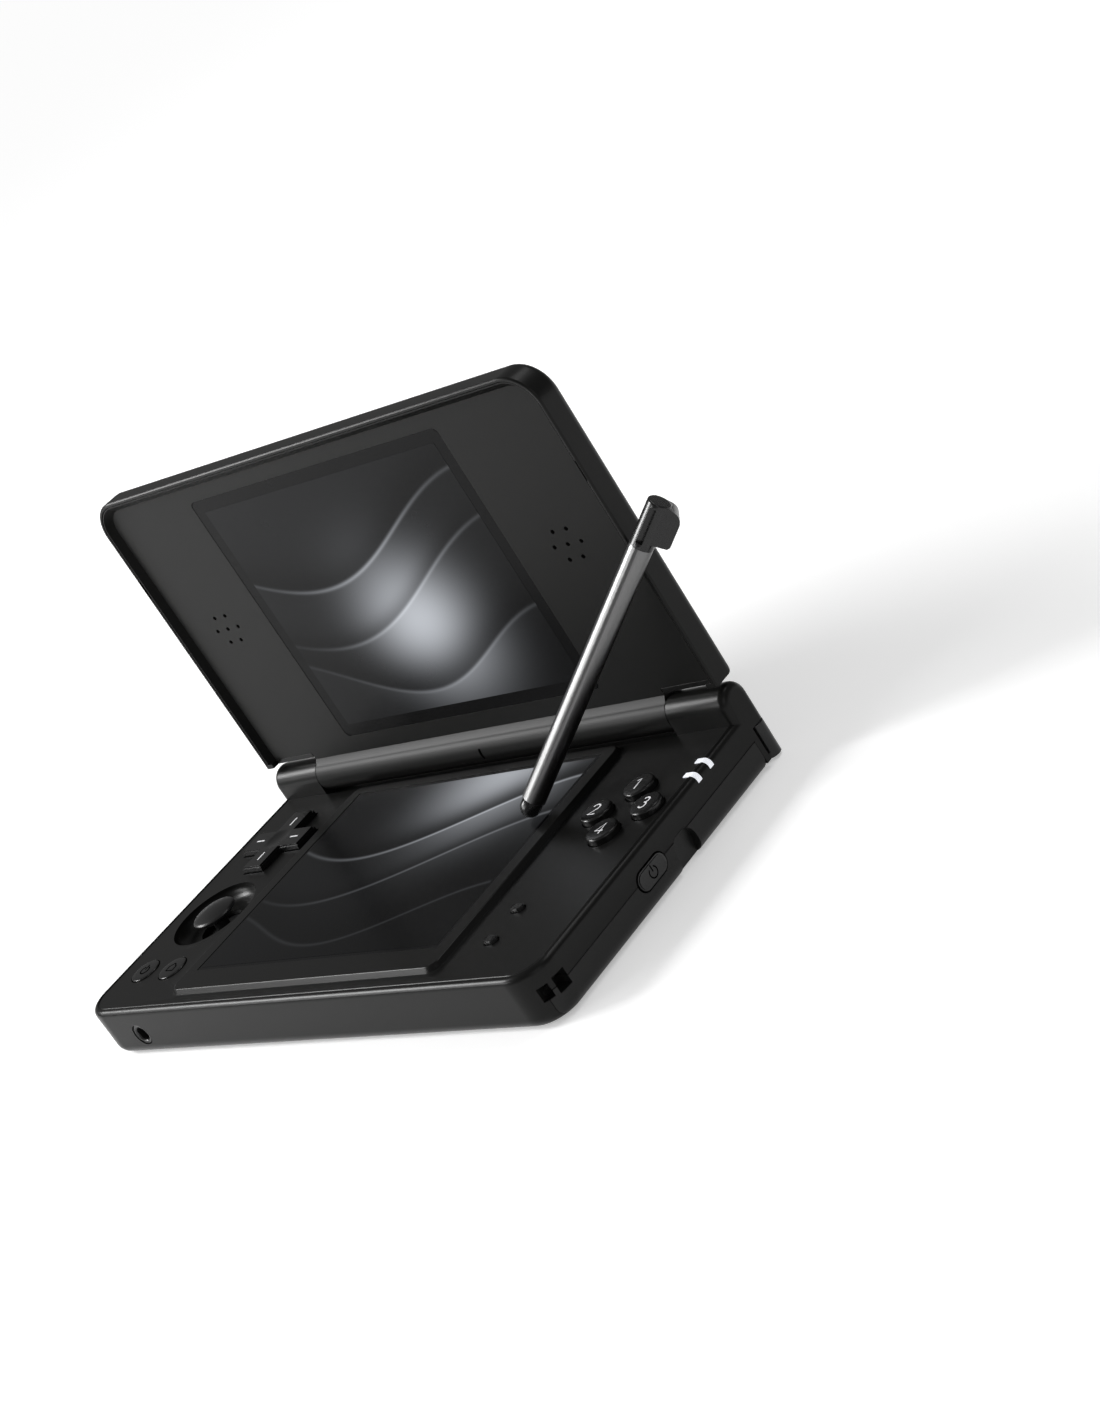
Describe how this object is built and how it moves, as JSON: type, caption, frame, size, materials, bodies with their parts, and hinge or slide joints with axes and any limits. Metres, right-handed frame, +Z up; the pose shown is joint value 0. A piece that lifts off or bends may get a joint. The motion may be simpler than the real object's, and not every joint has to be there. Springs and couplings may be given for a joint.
{
  "type": "clamshell handheld game console",
  "caption": "Two-screen folding handheld game console, open, with a directional pad, thumbstick, face and shoulder buttons, and a stylus leaning on its lid.",
  "frame": {"origin": "centre of the lower half's underside, on the surface it rests on", "axes": "+X to the player's right along the hinge, +Y from the front edge to the hinge, +Z up"},
  "size_m": [0.1756, 0.092, 0.1038],
  "materials": {
    "black_plastic": "satin black",
    "dark_plastic": "fine matt black",
    "button_plastic": "soft satin black",
    "grip_rubber": "soft matt",
    "panel_glass": "smooth",
    "display_black": "dark panel",
    "board_green": "solder mask",
    "grey_wrap": "plain wrap",
    "silicone": "matt",
    "steel": "bright",
    "light_white": "translucent"
  },
  "bodies": {
    "base": {"base_top_shell": "black_plastic", "base_bottom_shell": "dark_plastic", "touch_panel": "panel_glass", "lower_display": "display_black", "main_board": "board_green", "battery": "grey_wrap", "button_membranes": "silicone", "stick_base": "dark_plastic", "headphone_socket": "steel", "charge_port": "steel", "card_slot": "steel", "status_windows": "light_white", "housing_screws": "steel", "hinge_shaft": "steel", "hinge_sleeve": "steel", "shoulder_pins": "steel", "shoulder_springs": "steel"},
    "lid": {"lid_cover": "black_plastic", "lid_frame": "black_plastic", "upper_lens": "panel_glass", "upper_display": "display_black", "speaker_left": "dark_plastic", "speaker_right": "dark_plastic", "microphone": "steel", "hinge_cartridge": "steel", "display_flex": "dark_plastic"},
    "face_button_top": {"face_button_top": "button_plastic"},
    "face_button_right": {"face_button_right": "button_plastic"},
    "face_button_bottom": {"face_button_bottom": "button_plastic"},
    "face_button_left": {"face_button_left": "button_plastic"},
    "dpad_pivot": {"dpad_pivot": "dark_plastic"},
    "dpad": {"dpad": "button_plastic"},
    "stick_carriage": {"stick_carriage": "steel"},
    "thumbstick": {"thumbstick": "grip_rubber"},
    "start_button": {"start_button": "button_plastic"},
    "select_button": {"select_button": "button_plastic"},
    "menu_button_left": {"menu_button_left": "button_plastic"},
    "menu_button_right": {"menu_button_right": "button_plastic"},
    "power_button": {"power_button": "button_plastic"},
    "volume_rocker": {"volume_rocker": "button_plastic"},
    "shoulder_button_left": {"shoulder_button_left": "button_plastic"},
    "shoulder_button_right": {"shoulder_button_right": "button_plastic"},
    "stylus": {"stylus_shaft": "steel", "stylus_tip": "dark_plastic", "stylus_cap": "dark_plastic"}
  },
  "joints": [
    {"name": "lid_hinge", "type": "hinge", "parent": "base", "child": "lid", "pos_m": [0, 0.0413, 0.0168], "axis": [-1, 0, 0], "range_deg": [-90.4, 44.6]},
    {"name": "face_button_top_press", "type": "slide", "parent": "base", "child": "face_button_top", "axis": [0, 0, -1], "range_m": [0, 0.0012], "stiffness_N_per_m": 300},
    {"name": "face_button_right_press", "type": "slide", "parent": "base", "child": "face_button_right", "axis": [0, 0, -1], "range_m": [0, 0.0012], "stiffness_N_per_m": 300},
    {"name": "face_button_bottom_press", "type": "slide", "parent": "base", "child": "face_button_bottom", "axis": [0, 0, -1], "range_m": [0, 0.0012], "stiffness_N_per_m": 300},
    {"name": "face_button_left_press", "type": "slide", "parent": "base", "child": "face_button_left", "axis": [0, 0, -1], "range_m": [0, 0.0012], "stiffness_N_per_m": 300},
    {"name": "dpad_rock_front_back", "type": "hinge", "parent": "base", "child": "dpad_pivot", "pos_m": [-0.0623, 0.017, 0.00995], "axis": [1, 0, 0], "range_deg": [-2.5, 2.5], "stiffness_Nm_per_rad": 0.1},
    {"name": "dpad_rock_left_right", "type": "hinge", "parent": "dpad_pivot", "child": "dpad", "pos_m": [-0.0623, 0.017, 0.00995], "axis": [0, 1, 0], "range_deg": [-2.5, 2.5], "stiffness_Nm_per_rad": 0.1},
    {"name": "stick_slide_front_back", "type": "slide", "parent": "base", "child": "stick_carriage", "axis": [0, 1, 0], "range_m": [-0.0026, 0.0026], "stiffness_N_per_m": 150},
    {"name": "stick_slide_left_right", "type": "slide", "parent": "stick_carriage", "child": "thumbstick", "axis": [1, 0, 0], "range_m": [-0.0026, 0.0026], "stiffness_N_per_m": 150},
    {"name": "start_button_press", "type": "slide", "parent": "base", "child": "start_button", "axis": [0, 0, -1], "range_m": [0, 0.0005], "stiffness_N_per_m": 300},
    {"name": "select_button_press", "type": "slide", "parent": "base", "child": "select_button", "axis": [0, 0, -1], "range_m": [0, 0.0005], "stiffness_N_per_m": 300},
    {"name": "menu_button_left_press", "type": "slide", "parent": "base", "child": "menu_button_left", "axis": [0, 0, -1], "range_m": [0, 0.0004], "stiffness_N_per_m": 300},
    {"name": "menu_button_right_press", "type": "slide", "parent": "base", "child": "menu_button_right", "axis": [0, 0, -1], "range_m": [0, 0.0004], "stiffness_N_per_m": 300},
    {"name": "power_button_press", "type": "slide", "parent": "base", "child": "power_button", "axis": [-1, 0, 0], "range_m": [0, 0.0006], "stiffness_N_per_m": 300},
    {"name": "volume_rock", "type": "hinge", "parent": "base", "child": "volume_rocker", "pos_m": [-0.0782, 0.008, 0.0069], "axis": [0, 0, 1], "range_deg": [-4, 4], "stiffness_Nm_per_rad": 0.1},
    {"name": "shoulder_left_press", "type": "hinge", "parent": "base", "child": "shoulder_button_left", "pos_m": [-0.0629, 0.0436, 0.005], "axis": [0, 0, 1], "range_deg": [0, 3.5], "stiffness_Nm_per_rad": 0.2},
    {"name": "shoulder_right_press", "type": "hinge", "parent": "base", "child": "shoulder_button_right", "pos_m": [0.0629, 0.0436, 0.005], "axis": [0, 0, -1], "range_deg": [0, 3.5], "stiffness_Nm_per_rad": 0.2},
    {"name": "stylus_set_aside", "type": "slide", "parent": "base", "child": "stylus", "axis": [0.8, -0.6, 0], "range_m": [-0.031, 0.0625]}
  ],
  "couplings": [
    {"joint": "stylus_set_aside", "follows": "lid_hinge", "m_per_rad": -0.0393}
  ]
}
